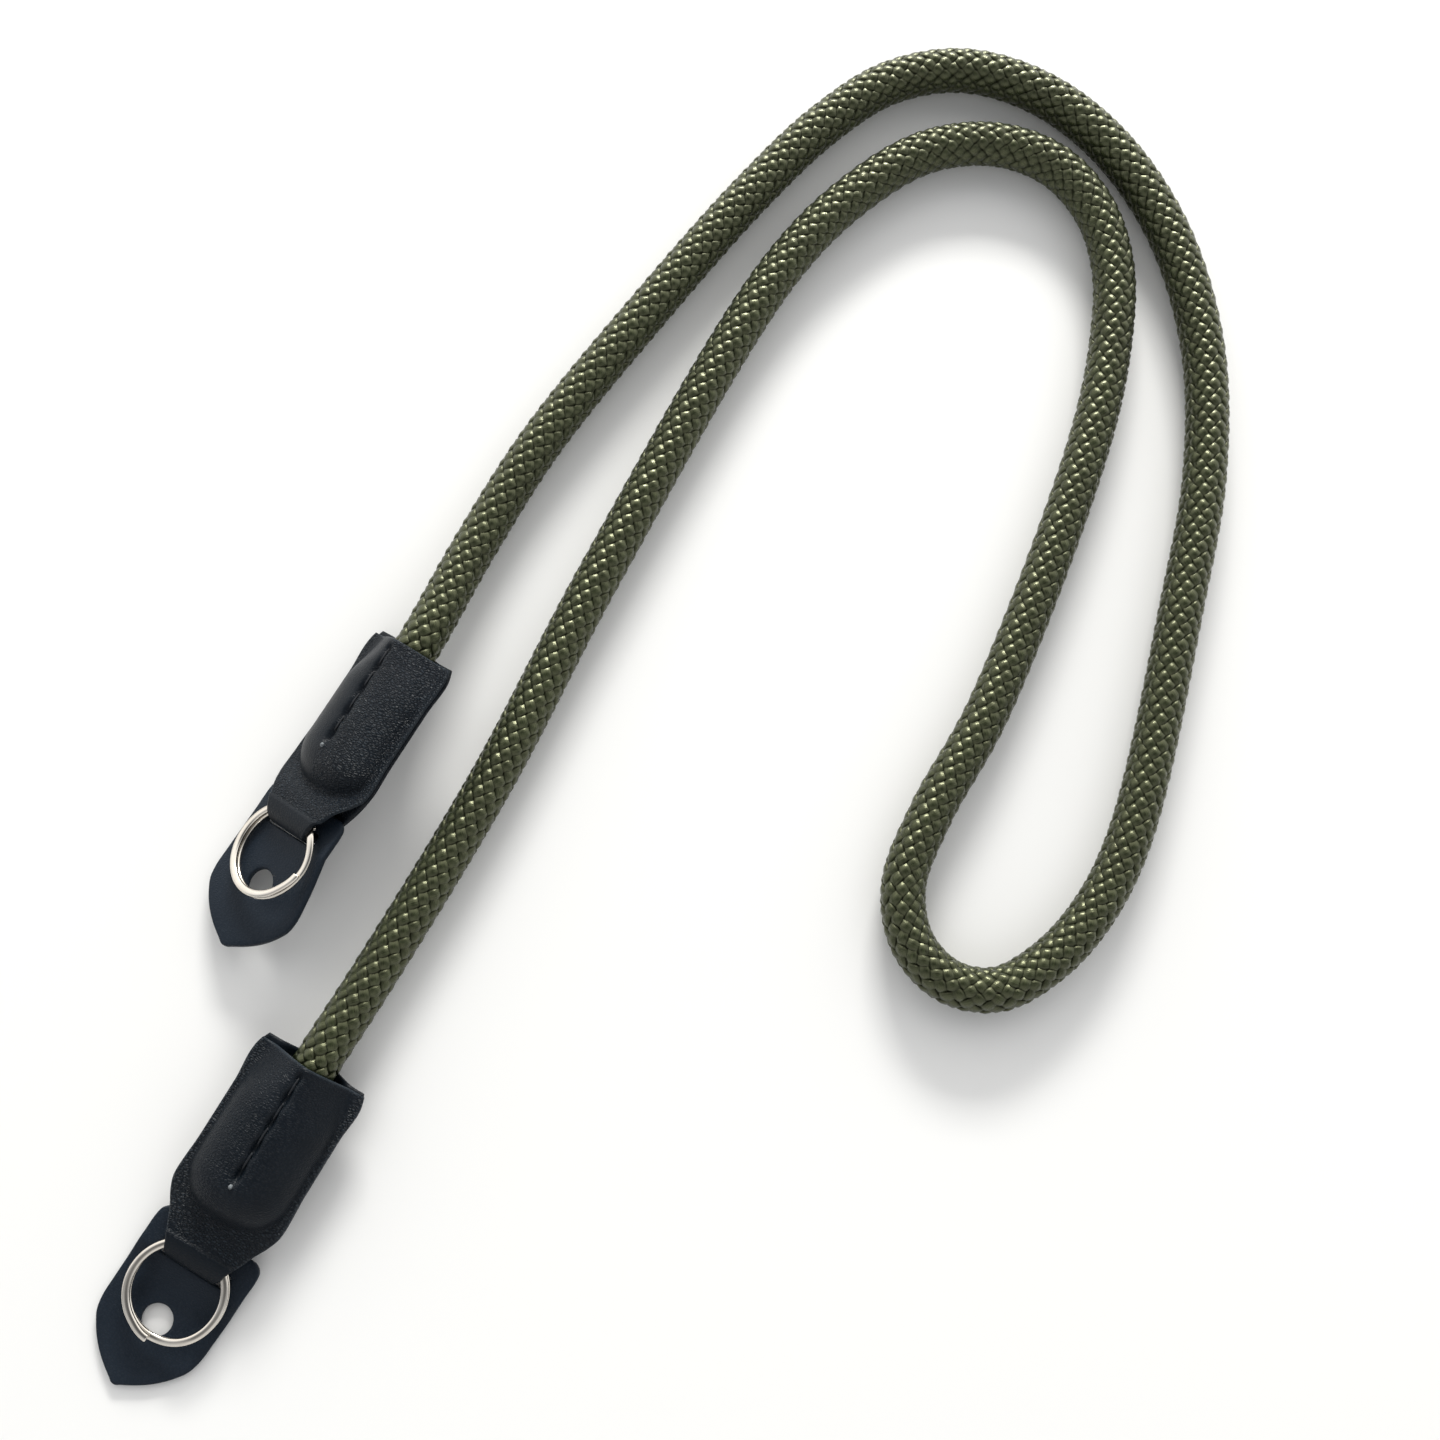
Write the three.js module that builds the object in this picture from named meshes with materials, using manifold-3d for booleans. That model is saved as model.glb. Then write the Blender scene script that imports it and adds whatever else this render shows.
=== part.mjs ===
// A camera neck strap: one braided rope with a leather end tab at each end.
// Each tab is folded round a split ring and carries a leather guard flap behind the ring.
// Millimetres, +Z up. The strap lies on the plane z = 0 in the loose loop of its rest pose.

import * as THREE from 'three';
import { mergeVertices } from 'three/addons/utils/BufferGeometryUtils.js';
import Module from 'manifold-3d';

const wasm = await Module();
wasm.setup();

// Driving sizes

// Rope
const ROPE_DIAMETER = 9.8;
const ROPE_SIDES = 10;
const ROPE_STEPS = 80;

// Leather
const LEATHER = 1.2;
const GAP = 0.3;

// Sleeve of a tab: a two-layer pocket that holds the rope's end
const BULGE_HALF_WIDTH = 10.9;
const BULGE_HEIGHT = 6.5;
const BULGE_CAP_START = 25;
const BULGE_CAP_LENGTH = 9.3;
const POCKET_HALF_WIDTH = 9.6;
const POCKET_HEIGHT = ROPE_DIAMETER / 2 + 0.4;
const POCKET_DEPTH = 28;

// Fold of a tab round its ring
const NECK_START = 29;
const FOLD_END = 45.5;
const FOLD_HALF_HEIGHT = 3.3;
const FOLD_CORNER = 2.05;
const TUNNEL_TIP = 34.0;
const TUNNEL_START = 36.8;

// Split ring: two turns of flattened wire
const RING_OUTER_RADIUS = 10.25;
const RING_WIRE_WIDTH = 1.5;
const RING_WIRE_HEIGHT = 0.96;
const RING_COIL_PITCH = 1.06;
const RING_ALONG = 50.0;
const RING_STEPS = 58;
const RING_STEP_TURN = 0.14;

// Guard flap
const GUARD_SLOT_START = 42.9;
const GUARD_SLOT_END = 46.5;
const GUARD_SLOT_HALF_WIDTH = 7.7;
const GUARD_HOLE_ALONG = 57.3;
const GUARD_HOLE_RADIUS = 3.15;

// Short tables. "along" runs from the mouth of the sleeve towards the ring.

const TAB_OUTLINE = [
  { along: -1.1, half: 11.3 },
  { along: 0, half: 11.8 },
  { along: 10, half: 12.0 },
  { along: 22, half: 12.0 },
  { along: 29, half: 12.3 },
  { along: 31.4, half: 12.1 },
  { along: 33.6, half: 11.3 },
  { along: 36.4, half: 9.8 },
  { along: 39.6, half: 8.3 },
  { along: 42.3, half: 7.0 },
  { along: 44.3, half: 6.3 },
  { along: 45.5, half: 5.5 },
];

const TAB_ROWS = [
  { from: -1.1, to: 25, steps: 7 },
  { from: 25, to: 34.4, steps: 7 },
  { from: 34.4, to: 38.4, steps: 3 },
  { from: 38.4, to: 43.45, steps: 3 },
  { from: 43.45, to: 45.5, steps: 4 },
];

// Share of the half width at each lengthwise line of a tab
const TAB_LINES = [0, 0.12, 0.25, 0.38, 0.52, 0.64, 0.74, 0.82, 0.88, 0.92, 1];

const GUARD_OUTLINE = [
  { along: 37.9, half: 9.9 },
  { along: 38.3, half: 10.9 },
  { along: 39.2, half: 11.7 },
  { along: 40.6, half: 12.0 },
  { along: 50, half: 12.0 },
  { along: 59.3, half: 11.7 },
  { along: 62, half: 11.0 },
  { along: 64, half: 9.7 },
  { along: 66, half: 8.0 },
  { along: 68, half: 5.8 },
  { along: 69.6, half: 3.5 },
  { along: 70.9, half: 1.3 },
  { along: 71.4, half: 0.5 },
];

const GUARD_ROWS = [
  { from: 37.9, to: 40.6, steps: 3 },
  { from: 40.6, to: 46, steps: 1 },
  { from: 46, to: 52, steps: 2 },
  { from: 52, to: 59.3, steps: 1 },
  { from: 59.3, to: 71.4, steps: 8 },
];

const GUARD_LINES = [0, 0.5, 1];

// How far the guard sags below the plane of its slot, and how steeply its right side drops
const LOWER_GUARD_SAG = [
  { along: 46, sag: 0, slope: 0 },
  { along: 52, sag: 1.45, slope: 0 },
  { along: 71.4, sag: 1.45, slope: 0 },
];

const UPPER_GUARD_SAG = [
  { along: 46, sag: 0, slope: 0 },
  { along: 52, sag: 0.8, slope: 0.08 },
  { along: 71.4, sag: 2.3, slope: 0.3 },
];

// Where the two ends lie. Roll turns an end about its own length, right edge up.
// The upper neck is creased: shorter by neckShort and leaning sideways by neckLean.
const LOWER_END = {
  x: 7.75,
  y: -14.61,
  height: 6.5,
  turn: -30.6,
  roll: 0,
  neckShift: -3.2,
  neckShort: 0,
  neckLean: 0,
  sag: LOWER_GUARD_SAG,
  guardShift: 0,
  guardTurn: -3,
  ringStepAngle: 232,
};

const UPPER_END = {
  x: 25.05,
  y: 69.2,
  height: 8.85,
  turn: -31.4,
  roll: 32,
  neckShift: 0.3,
  neckShort: 1.2,
  neckLean: -1.2,
  sag: UPPER_GUARD_SAG,
  guardShift: -0.5,
  guardTurn: -1,
  ringStepAngle: 232,
};

// The rope's centre line, from inside the upper tab, over the top, down, round the low
// bend, up, over again and down into the lower tab.
const ROPE_ROUTE = [
  { x: 10.8, y: 45.8, z: 8.85 },
  { x: 20.1, y: 61.1, z: 8.85 },
  { x: 26.2, y: 71.1, z: 8.7 },
  { x: 36.8, y: 93.3, z: 5.4 },
  { x: 50.5, y: 117.0, z: 5.0 },
  { x: 74.5, y: 149.0, z: 5.0 },
  { x: 96.5, y: 176.0, z: 5.0 },
  { x: 112.5, y: 192.5, z: 5.0 },
  { x: 127.5, y: 203.0, z: 5.0 },
  { x: 144.5, y: 206.5, z: 5.0 },
  { x: 162.0, y: 201.5, z: 5.0 },
  { x: 177.5, y: 189.0, z: 5.0 },
  { x: 190.0, y: 168.5, z: 5.0 },
  { x: 196.5, y: 141.5, z: 5.0 },
  { x: 195.5, y: 112.0, z: 5.0 },
  { x: 189.0, y: 82.5, z: 5.0 },
  { x: 175.5, y: 32.5, z: 5.0 },
  { x: 167.0, y: 16.5, z: 5.0 },
  { x: 157.0, y: 6.0, z: 5.0 },
  { x: 146.0, y: 0.3, z: 5.0 },
  { x: 136.0, y: 2.0, z: 5.0 },
  { x: 128.7, y: 9.7, z: 5.0 },
  { x: 127.0, y: 21.5, z: 5.0 },
  { x: 133.0, y: 36.5, z: 5.0 },
  { x: 146.0, y: 59.0, z: 5.0 },
  { x: 170.5, y: 120.0, z: 5.0 },
  { x: 176.0, y: 143.5, z: 5.0 },
  { x: 177.0, y: 159.5, z: 5.0 },
  { x: 173.5, y: 173.0, z: 5.0 },
  { x: 165.0, y: 183.5, z: 5.0 },
  { x: 152.0, y: 188.5, z: 5.0 },
  { x: 136.0, y: 186.5, z: 5.0 },
  { x: 119.5, y: 176.0, z: 5.0 },
  { x: 102.0, y: 157.0, z: 5.0 },
  { x: 63.5, y: 88.0, z: 5.0 },
  { x: 41.5, y: 43.5, z: 5.0 },
  { x: 19.0, y: 4.0, z: 5.3 },
  { x: 8.8, y: -12.9, z: 6.4 },
  { x: 2.7, y: -23.2, z: 6.5 },
  { x: -6.2, y: -38.2, z: 6.5 },
];

// Shift that puts the middle of the leather ends' footprint at the origin
const FRAME_SHIFT = { x: -0.292, y: 0.3, z: 0 };

const radians = THREE.MathUtils.degToRad;

// Straight lines between the rows of a table
function straight(table, along, column) {
  if (along <= table[0].along) return table[0][column];
  for (let i = 1; i < table.length; i++) {
    const low = table[i - 1];
    const high = table[i];
    if (along <= high.along) {
      const share = (along - low.along) / (high.along - low.along);
      return low[column] + share * (high[column] - low[column]);
    }
  }
  return table[table.length - 1][column];
}

function smoothShare(value, from, to) {
  const share = THREE.MathUtils.clamp((value - from) / (to - from), 0, 1);
  return share * share * (3 - 2 * share);
}

function rowStations(rows) {
  const stations = [rows[0].from];
  for (const row of rows) {
    for (let i = 1; i <= row.steps; i++) {
      stations.push(row.from + ((row.to - row.from) * i) / row.steps);
    }
  }
  return stations;
}

function bothSides(lines) {
  const left = lines.slice(1).reverse().map((share) => -share);
  return [...left, ...lines];
}

// Merged, position-only copy of a geometry
function merged(geometry) {
  const copy = geometry.clone();
  copy.deleteAttribute('normal');
  copy.deleteAttribute('uv');
  return mergeVertices(copy, 1e-4);
}

function toManifold(geometry) {
  const plain = merged(geometry);
  return new wasm.Manifold(
    new wasm.Mesh({
      numProp: 3,
      vertProperties: new Float32Array(plain.attributes.position.array),
      triVerts: new Uint32Array(plain.index.array),
    }),
  );
}

function toGeometry(manifold) {
  const mesh = manifold.getMesh();
  const geometry = new THREE.BufferGeometry();
  const positions = new THREE.BufferAttribute(new Float32Array(mesh.vertProperties), 3);
  geometry.setAttribute('position', positions);
  geometry.setIndex(new THREE.BufferAttribute(new Uint32Array(mesh.triVerts), 1));
  geometry.computeVertexNormals();
  return geometry;
}

// A sheet of leather with its own outline, upper face and lower face.
// Local axes: X across, -Y along, Z away from the surface.
function sheet(stations, lines, halfAt, topAt, bottomAt) {
  const across = lines.length - 1;
  const down = stations.length - 1;
  const geometry = new THREE.BoxGeometry(1, 1, 1, across, down, 1);
  const position = geometry.attributes.position;
  for (let i = 0; i < position.count; i++) {
    const line = lines[Math.round((position.getX(i) + 0.5) * across)];
    const along = stations[down - Math.round((position.getY(i) + 0.5) * down)];
    const x = line * halfAt(along);
    const z = position.getZ(i) > 0 ? topAt(along, x) : bottomAt(along, x);
    position.setXYZ(i, x, -along, z);
  }
  return geometry;
}

// Height of the padded pocket above the middle plane of a sleeve
function bulgeHeight(along, x) {
  const sideways = x / BULGE_HALF_WIDTH;
  const lengthways = Math.max(0, along - BULGE_CAP_START) / BULGE_CAP_LENGTH;
  const inside = 1 - sideways * sideways - lengthways * lengthways;
  return BULGE_HEIGHT * Math.sqrt(Math.max(0, inside));
}

// Middle plane of a tab: level in the sleeve, shifted at the fold
function tabMiddle(along, neckShift) {
  return neckShift * smoothShare(along, 30, 38.4);
}

// Half of a tab's height outside the pocket
function tabHalfHeight(along) {
  const opened = FOLD_HALF_HEIGHT - LEATHER;
  const half = LEATHER + opened * smoothShare(along, 30, 38.4);
  const past = along - (FOLD_END - FOLD_CORNER);
  if (past <= 0) return half;
  const rounding = FOLD_CORNER - Math.sqrt(Math.max(0, FOLD_CORNER ** 2 - past ** 2));
  return half - rounding;
}

// Shortens a tab past its sleeve and leans it sideways
function creaseNeck(geometry, neckShort, neckLean) {
  const position = geometry.attributes.position;
  for (let i = 0; i < position.count; i++) {
    const past = Math.max(0, -position.getY(i) - NECK_START) / (FOLD_END - NECK_START);
    position.setX(i, position.getX(i) + neckLean * past);
    position.setY(i, position.getY(i) + neckShort * past);
  }
  geometry.computeVertexNormals();
  return geometry;
}

// The leather tab: a sleeve for the rope's end that narrows to a fold round the ring
function makeTab(neckShift, neckShort, neckLean) {
  const upper = (along, x) =>
    tabMiddle(along, neckShift) + Math.max(tabHalfHeight(along), bulgeHeight(along, x));
  const lower = (along, x) =>
    tabMiddle(along, neckShift) - Math.max(tabHalfHeight(along), bulgeHeight(along, x));
  const half = (along) => straight(TAB_OUTLINE, along, 'half');
  const body = toManifold(
    sheet(rowStations(TAB_ROWS), bothSides(TAB_LINES), half, upper, lower),
  );

  // Pocket for the rope
  const pocket = new THREE.CylinderGeometry(1, 1, POCKET_DEPTH + 10, 28);
  pocket.scale(POCKET_HALF_WIDTH, 1, POCKET_HEIGHT);
  pocket.translate(0, 5 - POCKET_DEPTH / 2, 0);

  // The front layer stops a little short of the back layer at the mouth
  const step = new THREE.BoxGeometry(40, 10, 20);
  step.translate(0, 5, 10);

  // Tunnel of the fold, where the ring and the head of the guard pass
  const high = neckShift + FOLD_HALF_HEIGHT - LEATHER;
  const low = neckShift - FOLD_HALF_HEIGHT + LEATHER;
  const end = FOLD_END - LEATHER;
  const corner = FOLD_CORNER - LEATHER;
  const side = new THREE.Shape();
  side.moveTo(TUNNEL_TIP, tabMiddle(TUNNEL_TIP, neckShift));
  side.lineTo(TUNNEL_START, low);
  side.lineTo(end - corner, low);
  side.absarc(end - corner, low + corner, corner, -Math.PI / 2, 0, false);
  side.lineTo(end, high - corner);
  side.absarc(end - corner, high - corner, corner, 0, Math.PI / 2, false);
  side.lineTo(TUNNEL_START, high);
  side.closePath();
  const tunnel = new THREE.ExtrudeGeometry(side, {
    depth: 40,
    bevelEnabled: false,
    curveSegments: 3,
  });
  // Section drawn in (along, height), swept across the tab
  tunnel.translate(0, 0, -20);
  tunnel.rotateX(Math.PI / 2);
  tunnel.rotateZ(-Math.PI / 2);

  const cut = body
    .subtract(toManifold(pocket))
    .subtract(toManifold(step))
    .subtract(toManifold(tunnel));
  return creaseNeck(toGeometry(cut), neckShort, neckLean);
}

// The guard flap: slotted where the tab's fold passes, holed near its tip
function makeGuard(neckShift, sag, turn) {
  const plane = neckShift - FOLD_HALF_HEIGHT + LEATHER + 0.25 + LEATHER / 2;
  const middle = (along, x) =>
    plane - straight(sag, along, 'sag') - x * straight(sag, along, 'slope');
  const half = (along) => straight(GUARD_OUTLINE, along, 'half');
  const body = toManifold(
    sheet(
      rowStations(GUARD_ROWS),
      bothSides(GUARD_LINES),
      half,
      (along, x) => middle(along, x) + LEATHER / 2,
      (along, x) => middle(along, x) - LEATHER / 2,
    ),
  );

  const slotLength = GUARD_SLOT_END - GUARD_SLOT_START;
  const slotMiddle = (GUARD_SLOT_END + GUARD_SLOT_START) / 2;
  const slot = new THREE.BoxGeometry(2 * GUARD_SLOT_HALF_WIDTH, slotLength, 20);
  slot.translate(0, -slotMiddle, plane);

  const hole = new THREE.CylinderGeometry(GUARD_HOLE_RADIUS, GUARD_HOLE_RADIUS, 20, 24);
  hole.rotateX(Math.PI / 2);
  hole.translate(0, -GUARD_HOLE_ALONG, plane);

  const guard = toGeometry(body.subtract(toManifold(slot)).subtract(toManifold(hole)));
  guard.translate(0, slotMiddle, 0);
  guard.rotateZ(radians(turn));
  guard.translate(0, -slotMiddle, 0);
  return guard;
}

// Two flat turns with one short step between them
class SplitRingCurve extends THREE.Curve {
  constructor(radius, pitch, stepTurn, startAngle) {
    super();
    this.radius = radius;
    this.pitch = pitch;
    this.stepTurn = stepTurn;
    this.startAngle = startAngle;
  }

  getPoint(t, target = new THREE.Vector3()) {
    const first = this.stepTurn + 0.012;
    const turn = first + t * (1.988 - first);
    const climb = smoothShare(turn, 1, 1 + this.stepTurn);
    const angle = this.startAngle + turn * 2 * Math.PI;
    return target.set(
      this.radius * Math.cos(angle),
      this.radius * Math.sin(angle),
      this.pitch * (climb - 0.5),
    );
  }
}

function makeRing(neckShift, stepAngle) {
  const radius = RING_OUTER_RADIUS - RING_WIRE_WIDTH / 2;
  const path = new SplitRingCurve(
    radius,
    RING_COIL_PITCH,
    RING_STEP_TURN,
    radians(stepAngle),
  );
  const wide = RING_WIRE_WIDTH / 2;
  const high = RING_WIRE_HEIGHT / 2;
  const section = new THREE.Shape([
    new THREE.Vector2(high, -wide * 0.5),
    new THREE.Vector2(high, wide * 0.5),
    new THREE.Vector2(high * 0.45, wide),
    new THREE.Vector2(-high * 0.45, wide),
    new THREE.Vector2(-high, wide * 0.5),
    new THREE.Vector2(-high, -wide * 0.5),
    new THREE.Vector2(-high * 0.45, -wide),
    new THREE.Vector2(high * 0.45, -wide),
  ]);
  const ring = new THREE.ExtrudeGeometry(section, {
    steps: RING_STEPS,
    extrudePath: path,
    bevelEnabled: false,
  });
  const guardTop = neckShift - FOLD_HALF_HEIGHT + LEATHER + 0.25 + LEATHER;
  const halfStack = (RING_COIL_PITCH + RING_WIRE_HEIGHT) / 2;
  ring.translate(0, -RING_ALONG, guardTop + GAP + halfStack);
  return merged(ring);
}

function makeRope() {
  const points = ROPE_ROUTE.map((row) => new THREE.Vector3(row.x, row.y, row.z));
  const path = new THREE.CatmullRomCurve3(points, false, 'centripetal');
  const corners = [];
  for (let i = 0; i < ROPE_SIDES; i++) {
    const angle = ((i + 0.5) / ROPE_SIDES) * 2 * Math.PI;
    const radius = ROPE_DIAMETER / 2;
    corners.push(new THREE.Vector2(radius * Math.cos(angle), radius * Math.sin(angle)));
  }
  const rope = new THREE.ExtrudeGeometry(new THREE.Shape(corners), {
    steps: ROPE_STEPS,
    extrudePath: path,
    bevelEnabled: false,
  });
  return merged(rope);
}

// Materials

function leather() {
  return new THREE.MeshStandardMaterial({ color: 0x23292f, roughness: 0.5, metalness: 0 });
}

function nickel() {
  return new THREE.MeshStandardMaterial({ color: 0xcfc9be, roughness: 0.18, metalness: 1 });
}

const braid = new THREE.MeshStandardMaterial({
  color: 0x565e3c,
  roughness: 0.55,
  metalness: 0,
});

// Assembly

const strap = new THREE.Group();
strap.position.set(FRAME_SHIFT.x, FRAME_SHIFT.y, FRAME_SHIFT.z);

function addEnd(name, end) {
  const place = new THREE.Group();
  place.position.set(end.x, end.y, end.height);
  place.rotation.z = radians(end.turn);
  const rolled = new THREE.Group();
  rolled.rotation.y = radians(-end.roll);
  place.add(rolled);

  const tabShape = makeTab(end.neckShift, end.neckShort, end.neckLean);
  const tab = new THREE.Mesh(tabShape, leather());
  tab.name = `${name}_tab`;
  const ring = new THREE.Mesh(makeRing(end.neckShift, end.ringStepAngle), nickel());
  ring.name = `${name}_ring`;
  const guard = new THREE.Mesh(makeGuard(end.neckShift, end.sag, end.guardTurn), leather());
  guard.name = `${name}_guard`;
  ring.position.set(end.neckLean, end.neckShort, 0);
  guard.position.set(end.neckLean + end.guardShift, end.neckShort, 0);
  rolled.add(tab, ring, guard);
  strap.add(place);
}

const rope = new THREE.Mesh(makeRope(), braid);
rope.name = 'rope';
strap.add(rope);
addEnd('upper', UPPER_END);
addEnd('lower', LOWER_END);

export default strap;
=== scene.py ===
import math

import bpy
import numpy as np
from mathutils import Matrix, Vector
from mathutils.geometry import delaunay_2d_cdt


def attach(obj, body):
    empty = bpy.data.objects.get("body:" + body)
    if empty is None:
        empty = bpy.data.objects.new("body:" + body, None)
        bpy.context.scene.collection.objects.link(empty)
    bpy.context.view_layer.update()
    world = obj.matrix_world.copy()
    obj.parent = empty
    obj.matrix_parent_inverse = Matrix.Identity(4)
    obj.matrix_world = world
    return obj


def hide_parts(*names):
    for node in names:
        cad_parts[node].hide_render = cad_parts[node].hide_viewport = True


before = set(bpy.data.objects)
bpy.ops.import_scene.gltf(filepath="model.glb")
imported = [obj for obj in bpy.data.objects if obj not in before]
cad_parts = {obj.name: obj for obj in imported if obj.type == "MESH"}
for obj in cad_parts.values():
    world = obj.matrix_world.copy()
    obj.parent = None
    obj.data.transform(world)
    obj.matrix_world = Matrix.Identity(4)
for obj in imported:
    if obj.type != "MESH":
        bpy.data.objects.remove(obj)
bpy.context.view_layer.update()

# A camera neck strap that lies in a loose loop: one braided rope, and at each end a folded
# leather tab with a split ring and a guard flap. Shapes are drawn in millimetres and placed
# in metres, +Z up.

MM = 0.001
FRAME_SHIFT = (-0.000292, 0.0003, 0.0)

# Camera
CAMERA_PLACE = (0.072708, 0.008300, 0.31232)
CAMERA_TURN = (8.902, -2.937, 0.0)
CAMERA_LENS = 37.0
CAMERA_SENSOR = 36.0

# Rope
ROPE_LINE_STEP = 0.12
CORE_RADIUS = 3.3
CORE_SIDES = 12
CORE_STEPS = 420
BRAID_STRANDS = 9
BRAID_LEAD = 33.5
BRAID_MIDDLE = 3.86
BRAID_WAVE = 0.46
BRAID_FIRST_ANGLE = 0.35
BRAID_SLANT = 0.68
# Slow drift of the braid round the rope: turn in radians, length over which it swings, phase
BRAID_DRIFT = [(0.10, 71.0, 0.0), (0.06, 29.0, 1.3)]
STEPS_PER_CROSSING = 4
STRANDS_PER_PIECE = 5

# Strand section: share of the half width, height over the strand's middle
STRAND_SECTION = [
    (-1.0, -0.25),
    (-0.91, 0.17),
    (-0.70, 0.39),
    (0.0, 0.48),
    (0.70, 0.39),
    (0.91, 0.17),
    (1.0, -0.25),
    (0.0, -0.36),
]
STRAND_HALF_WIDTH = 1.10
STRAND_SPREAD = 0.12
STRAND_AROUND = 5.2
CORE_AROUND = 10.0

# The rope's centre line: out of the upper tab, over the top, down, round the low bend, up,
# over again and down into the lower tab.
ROPE_ROUTE = [
    (0.0108, 0.0458, 0.00885),
    (0.0201, 0.0611, 0.00885),
    (0.0262, 0.0711, 0.00870),
    (0.0368, 0.0933, 0.0054),
    (0.0505, 0.1170, 0.005),
    (0.0745, 0.1490, 0.005),
    (0.0965, 0.1760, 0.005),
    (0.1125, 0.1925, 0.005),
    (0.1275, 0.2030, 0.005),
    (0.1445, 0.2065, 0.005),
    (0.1620, 0.2015, 0.005),
    (0.1775, 0.1890, 0.005),
    (0.1900, 0.1685, 0.005),
    (0.1965, 0.1415, 0.005),
    (0.1955, 0.1120, 0.005),
    (0.1890, 0.0825, 0.005),
    (0.1755, 0.0325, 0.005),
    (0.1670, 0.0165, 0.005),
    (0.1570, 0.0060, 0.005),
    (0.1460, 0.0003, 0.005),
    (0.1360, 0.0020, 0.005),
    (0.1287, 0.0097, 0.005),
    (0.1270, 0.0215, 0.005),
    (0.1330, 0.0365, 0.005),
    (0.1460, 0.0590, 0.005),
    (0.1705, 0.1200, 0.005),
    (0.1760, 0.1435, 0.005),
    (0.1770, 0.1595, 0.005),
    (0.1735, 0.1730, 0.005),
    (0.1650, 0.1835, 0.005),
    (0.1520, 0.1885, 0.005),
    (0.1360, 0.1865, 0.005),
    (0.1195, 0.1760, 0.005),
    (0.1020, 0.1570, 0.005),
    (0.0635, 0.0880, 0.005),
    (0.0415, 0.0435, 0.005),
    (0.0190, 0.0040, 0.0053),
    (0.0088, -0.0129, 0.0064),
    (0.0027, -0.0232, 0.0065),
    (-0.0062, -0.0382, 0.0065),
]

# Leather tabs. "along" runs from the mouth of the sleeve towards the ring.
LEATHER = 1.17
LAYER_GAP = 0.02
BULGE_HALF_WIDTH = 10.9
BULGE_HEIGHT = 6.45
BULGE_CAP_START = 25.0
BULGE_CAP_LENGTH = 9.3
BULGE_FILLET = 0.7
BULGE_SQUARENESS = 2.1
BULGE_FALL = 0.55
MOUTH_LENGTH = 12.0
FRONT_SLACK = 1.2
BACK_SLACK = 1.6
NECK_START = 29.0
NECK_OPEN_START = 30.0
NECK_OPEN_END = 38.4
FOLD_START = 40.5
FOLD_END = 45.5
FOLD_HALF_HEIGHT = 3.3
FOLD_LEATHER = 1.2
BACK_LAYER_START = -1.1
EDGE_RADIUS = 0.34
EDGE_LEFT = 0.38
EDGE_INSETS = (0.0, 0.05, 0.15, 1.0)
EDGE_WEAR_AND_HIGHLIGHT = 0.45
TAB_STEP = 0.36
TAB_BACK_STEP = 0.8
TAB_LINES = 78
FOLD_STEPS = 30

TAB_OUTLINE = [
    (-1.1, 11.3),
    (0.0, 11.8),
    (10.0, 12.0),
    (22.0, 12.0),
    (29.0, 12.3),
    (31.4, 12.1),
    (33.6, 11.3),
    (36.4, 9.8),
    (39.6, 8.3),
    (42.3, 7.0),
    (44.3, 6.3),
    (45.5, 5.5),
]

# Seam down the middle of a sleeve
SEAM_ASIDE = -0.5
SEAM_START = 1.5
SEAM_END = 25.4
SEAM_DEPTH = 1.15
SEAM_HALF_WIDTH = 0.66
STITCH = 5.4
THREAD_RADIUS = 0.26
KNOT_RADIUS = 0.42
MOUTH_TRIM = 0.7

# Guard flaps
GUARD_THICK = 1.2
GUARD_CLEARANCE = 0.25
GUARD_SLOT = (42.9, 45.75, 7.7)
GUARD_SLOT_CORNER = 0.8
GUARD_SLOT_TURN = 2.75
GUARD_HOLE = (57.3, 3.15)
GUARD_CELL = 0.75
GUARD_ACROSS = (-13.0, 13.0)
GUARD_ALONG = (36.0, 73.0)
GUARD_GRAIN = 0.35
GUARD_EDGE_STEP = 0.4
GUARD_OUTLINE = [
    (37.9, 9.9),
    (38.3, 10.9),
    (39.2, 11.7),
    (40.6, 12.0),
    (45.0, 12.0),
    (50.0, 12.0),
    (55.0, 11.9),
    (59.3, 11.7),
    (62.0, 11.0),
    (64.0, 9.7),
    (66.0, 8.0),
    (68.0, 5.8),
    (69.6, 3.5),
    (70.9, 1.3),
    (71.4, 0.5),
]

# Rounded edge of a guard: inset from the outline, share of the half thickness
GUARD_RIM = [
    (0.30, 1.0),
    (0.10, 0.88),
    (0.02, 0.62),
    (0.0, 0.2),
    (0.0, -0.2),
    (0.02, -0.62),
    (0.10, -0.88),
    (0.30, -1.0),
]

# Split rings
RING_RADIUS = 9.5
RING_WIRE = (0.80, 0.50)
RING_END_FLARE = 0.38
RING_FLARE_START = 1.90
RING_COIL_PITCH = 1.06
RING_ALONG = 50.0
RING_STEP_TURN = 0.14
RING_STEPS = 320
RING_SIDES = 18
RING_CLEARANCE = 0.3
RING_FIRST_TURN = RING_STEP_TURN + 0.012
RING_LAST_TURN = 1.988
RING_SQUARENESS = 0.9
# How the wire narrows at its two ends: distance from the tip, share of its full size
RING_TIP = [(0.0, 0.45), (0.03, 0.75), (0.10, 0.93), (0.22, 1.0)]
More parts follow.
